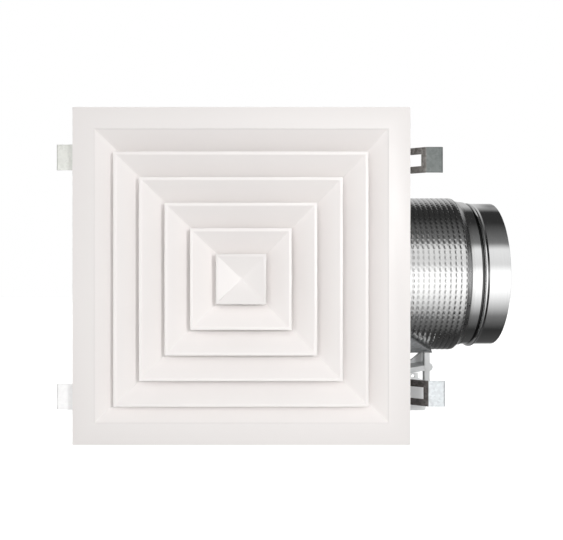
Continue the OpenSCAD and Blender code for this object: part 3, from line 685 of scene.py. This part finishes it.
def clip(node, side, metal, leg_metal):
    """A bent strip: a slotted leg, a rounded bend and a flat tab with a turned-up end."""
    low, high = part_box(node)
    middle_z = (low.z + high.z) / 2
    half_w = (high.z - low.z) / 2
    thick = 1.2 * MM
    slot_half = 5.5 * MM
    tab, lip = 15.4 * MM, 1.4 * MM
    root, far = (low.x, high.x) if side > 0 else (high.x, low.x)
    bend_x = far - side * tab
    path = filleted([
        (root, high.y - thick, 0),
        (bend_x, low.y, 3 * MM),
        (far - side * lip, low.y, 1 * MM),
        (far, low.y + 1.0 * MM, 0),
    ], 6)
    # Rows of points along the strip, at most 2 mm or so apart
    rows = []
    for a, b in zip(path, path[1:]):
        parts = max(1, round((b - a).length / (2 * MM)))
        rows += [a.lerp(b, i / parts) for i in range(parts)]
    rows.append(path[-1])
    slot_ends = sorted((root + side * 6.3 * MM, bend_x - side * 5 * MM))
    bar = 0.5 * (half_w + slot_half)
    levels = (-half_w, -bar, -slot_half, 0, slot_half, bar, half_w)
    slot_strips = (2, 3)
    bm = bmesh.new()
    grid = [[bm.verts.new((p.x, p.y, middle_z + z)) for z in levels] for p in rows]
    for here, there in zip(grid, grid[1:]):
        mid_x = (here[0].co.x + there[0].co.x) / 2
        in_slot = slot_ends[0] < mid_x < slot_ends[1]
        for j in range(len(levels) - 1):
            if in_slot and j in slot_strips:
                continue
            face = bm.faces.new((here[j], here[j + 1], there[j + 1], there[j]))
            face.material_index = 1 if side * (bend_x - mid_x) > 0 else 0
    bmesh.ops.recalc_face_normals(bm, faces=bm.faces)
    if sum(f.normal.y for f in bm.faces) > 0:
        bmesh.ops.reverse_faces(bm, faces=bm.faces)
    loose = [v for v in bm.verts if not v.link_faces]
    bmesh.ops.delete(bm, geom=loose, context="VERTS")
    bmesh.ops.solidify(bm, geom=list(bm.faces), thickness=thick)
    bmesh.ops.bevel(
        bm, geom=sharp_edges(bm, 50), offset=0.2 * MM, segments=2, profile=0.5,
        affect="EDGES", clamp_overlap=True,
    )
    piece = add_object(node + "_finish", bm, node, 40, metal)
    piece.data.materials.append(leg_metal)


# ---- Pieces ----

def dress_cad_nodes():
    """Plain CAD nodes keep their mesh and take a material."""
    for node, obj in NODES.items():
        material = MATERIALS[SLOT_OF[node]]
        if not obj.material_slots:
            obj.data.materials.append(material)
        for slot in obj.material_slots:
            slot.material = material


def make_face():
    """The frame and the louvres; returns them for the lights."""
    nodes = ("face_frame", "louvre_1", "louvre_2", "louvre_3", "louvre_4", "centre_louvre")
    pieces = [rounded(node, 0.4 * MM, 3) for node in nodes]
    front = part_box("face_frame")[0].y
    # Painted shade: the frame's flat border and all of the centre louvre take darkened paint
    pieces[0].data.materials[0] = white_paint("frame_paint", front=front)
    pieces[-1].data.materials[0] = white_paint("centre_paint", 0.9)
    return pieces


def make_mouldings():
    """The bracket under the duct, and the paler terminal box with its lid."""
    rounded("duct_bracket", 0.7 * MM, 3)
    plastic = moulded("box_plastic", (0.8, 0.81, 0.815), (0.86, 0.87, 0.87), 0.42, 0.56)
    for node in ("terminal_box", "terminal_lid"):
        rounded(node, 0.7 * MM, 3).data.materials[0] = plastic


def make_fasteners():
    """Every screw and rivet that has a head."""
    for node in (
        "frame_screws", "back_screws", "post_screws", "clip_screws", "motor_screws",
        "lid_screws", "bracket_screws",
    ):
        fasteners(node)
    fasteners("collar_rivets", "dimple")


def make_clips():
    """The four clips, whose tabs differ in tone; the tabs' four tones and the legs' two are
    painted light and shade on one zinc.
    """
    # Painted shade on the legs: dark on three, paler on the upper right one
    dark_shaded_leg = clip_metal("clip_leg_dark_shade", (0.085, 0.08, 0.078), (0.16, 0.15, 0.145), 1)
    pale_shaded_leg = clip_metal("clip_leg_pale_shade", (0.23, 0.22, 0.21), (0.42, 0.41, 0.39), 1)
    # Painted light and shade on the tabs: the warm one half shaded, the bright one a painted
    # highlight, the dull one deep shade
    warm = clip_metal("clip_tab_half_shade", (0.68, 0.69, 0.65), (0.75, 0.76, 0.72))
    bright = clip_metal("clip_tab_highlight", (0.94, 0.94, 0.94), (0.99, 0.99, 0.99), 0.1)
    dull = clip_metal("clip_tab_shade", (0.17, 0.187, 0.183), (0.22, 0.24, 0.233), 0.3)
    clip("clip_upper_left", -1, warm, dark_shaded_leg)
    clip("clip_lower_left", -1, bright, dark_shaded_leg)
    clip("clip_upper_right", 1, dull, pale_shaded_leg)
    clip("clip_lower_right", 1, MATERIALS["clip_zinc"], dark_shaded_leg)


# ---- Light, floor and camera ----

# What polished metal sees: the angle in degrees from straight ahead (0) over the top (90)
# to the back (180), or below it (negative), and the brightness. A broad soft box in front,
# a floor that fades as it goes back, a dark ceiling and a pale wall behind.
STUDIO = [
    (-180, 0.8), (-150, 0.3), (-100, 0.2), (-70, 0.45), (-30, 1.0), (-15, 1.1), (0, 1.1),
    (15, 0.85), (40, 0.9), (50, 0.45), (90, 0.2), (120, 0.2), (140, 0.7), (180, 0.8),
]
ZINC_BRIGHTNESS = 0.8


def metal_room(w, direction):
    """The studio's bands of light, with soft boxes that end to the right."""
    split = w.node("ShaderNodeSeparateXYZ")
    w.link(direction, split.inputs[0])
    ahead = w.maths("MULTIPLY", split.outputs["Y"], -1)
    angle = w.maths("ARCTAN2", split.outputs["Z"], ahead)
    ramp = w.node("ShaderNodeValToRGB")
    fill_ramp(ramp, [
        ((degrees + 180) / 360, shown ** 2.2 / ZINC_BRIGHTNESS) for degrees, shown in STUDIO
    ])
    w.link(w.ranged(angle, 0, 1, -pi, pi), ramp.inputs[0])
    # Slopes that face right look darker, and those that face the left brighter
    right = w.ranged(split.outputs["X"], 1.0, 0.3, 0.52, 0.88, smooth=True)
    left = w.ranged(split.outputs["X"], 1.6, 1.0, -0.75, -0.1, smooth=True)
    room = w.tree.nodes["Background"]
    w.link(ramp.outputs["Color"], room.inputs["Color"])
    w.link(w.maths("MULTIPLY", right, left), room.inputs["Strength"])
    return room


def matt_room(w, direction):
    """A large soft box in front, raised a little, and a dimmer room behind the face."""
    toward = w.node("ShaderNodeVectorMath", operation="DOT_PRODUCT")
    w.link(direction, toward.inputs[0])
    toward.inputs[1].default_value = Vector((0, -1, 0.2)).normalized()
    front = w.ranged(toward.outputs["Value"], 0.22, 3.05, 0.84, 0.99, smooth=True)
    behind = w.ranged(toward.outputs["Value"], 0.6, 0.0, -0.3, 0.0, smooth=True)
    room = w.node("ShaderNodeBackground", Color=(1, 0.995, 0.99, 1))
    w.link(w.maths("ADD", front, behind), room.inputs["Strength"])
    return room


def make_world():
    """White to the camera, a soft box for matt surfaces, and bands for polished metal."""
    world = bpy.data.worlds.new("studio")
    bpy.context.scene.world = world
    world.use_nodes = True
    world.cycles.sampling_method = "NONE"
    w = Wiring(world.node_tree)
    direction = w.node("ShaderNodeTexCoord").outputs["Generated"]
    white = w.node("ShaderNodeBackground", Color=(1, 1, 1, 1))
    ray = w.node("ShaderNodeLightPath")
    by_surface = w.node("ShaderNodeMixShader")
    w.link(ray.outputs["Is Diffuse Ray"], by_surface.inputs[0])
    w.link(metal_room(w, direction).outputs[0], by_surface.inputs[1])
    w.link(matt_room(w, direction).outputs[0], by_surface.inputs[2])
    shown = w.node("ShaderNodeMixShader")
    w.link(ray.outputs["Is Camera Ray"], shown.inputs[0])
    w.link(by_surface.outputs[0], shown.inputs[1])
    w.link(white.outputs[0], shown.inputs[2])
    w.link(shown.outputs[0], w.tree.nodes["World Output"].inputs["Surface"])


def add_lamp(name, kind, power, receivers):
    """A lamp that lights only the objects that a collection lets it."""
    data = bpy.data.lights.new(name, kind)
    data.energy = power
    lamp = bpy.data.objects.new(name, data)
    bpy.context.scene.collection.objects.link(lamp)
    lamp.light_linking.receiver_collection = receivers
    return lamp


def make_key_lamps(painted):
    """One key lamp twice: the paint shows its gleam, the metal only its light."""
    painted_only = bpy.data.collections.new("painted_only")
    all_but_painted = bpy.data.collections.new("metal_only")
    for piece in painted:
        painted_only.objects.link(piece)
        all_but_painted.objects.link(piece)
    for shown in all_but_painted.collection_objects:
        shown.light_linking.link_state = "EXCLUDE"
    place = Vector((0.31, -0.88, 0.11))
    for name, receivers in (("key_paint", painted_only), ("key_metal", all_but_painted)):
        key = add_lamp(name, "AREA", 2.8, receivers)
        key.data.size = 80 * MM
        key.location = place
        key.rotation_euler = (-place).to_track_quat("-Z", "Y").to_euler()
        key.visible_glossy = receivers == painted_only


def make_floor():
    """A plain white floor well below, lit by a lamp of its own so that it stays white."""
    bm = bmesh.new()
    bmesh.ops.create_grid(bm, x_segments=2, y_segments=2, size=8)
    mesh = bpy.data.meshes.new("floor")
    bm.to_mesh(mesh)
    bm.free()
    floor = bpy.data.objects.new("floor", mesh)
    bpy.context.scene.collection.objects.link(floor)
    floor.location = (0, 0, -0.45)
    floor.visible_glossy = False
    floor.visible_diffuse = False
    s = Shader("floor_white", (0.92, 0.92, 0.92), 0.8)
    s.two_colours(s.noise(2, 2), (0.915, 0.915, 0.915), (0.925, 0.925, 0.925))
    mesh.materials.append(s.material)
    only_floor = bpy.data.collections.new("only_floor")
    only_floor.objects.link(floor)
    lamp = add_lamp("floor_lamp", "SUN", 2.7, only_floor)
    lamp.data.angle = radians(60)


def make_camera():
    """A camera that looks straight at the face from a little right of it and above it."""
    low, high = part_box("face_frame")
    centre = (low + high) / 2
    right, up, away = 35.6 * MM, 11.75 * MM, 592 * MM
    data = bpy.data.cameras.new("camera")
    data.sensor_width = 36
    data.lens = 42.65
    data.shift_y = -0.0128
    cam = bpy.data.objects.new("camera", data)
    bpy.context.scene.collection.objects.link(cam)
    cam.location = (centre.x + right, low.y - away, centre.z + up)
    cam.rotation_euler = (radians(90), 0, 0)
    bpy.context.scene.camera = cam


dress_cad_nodes()
face_pieces = make_face()
make_mouldings()
collar_on_sleeve()
make_fasteners()
embossed_sleeve()
outlet_spigot()
make_clips()
bpy.context.scene.view_settings.view_transform = "Standard"
make_world()
make_floor()
make_camera()
make_key_lamps(face_pieces)
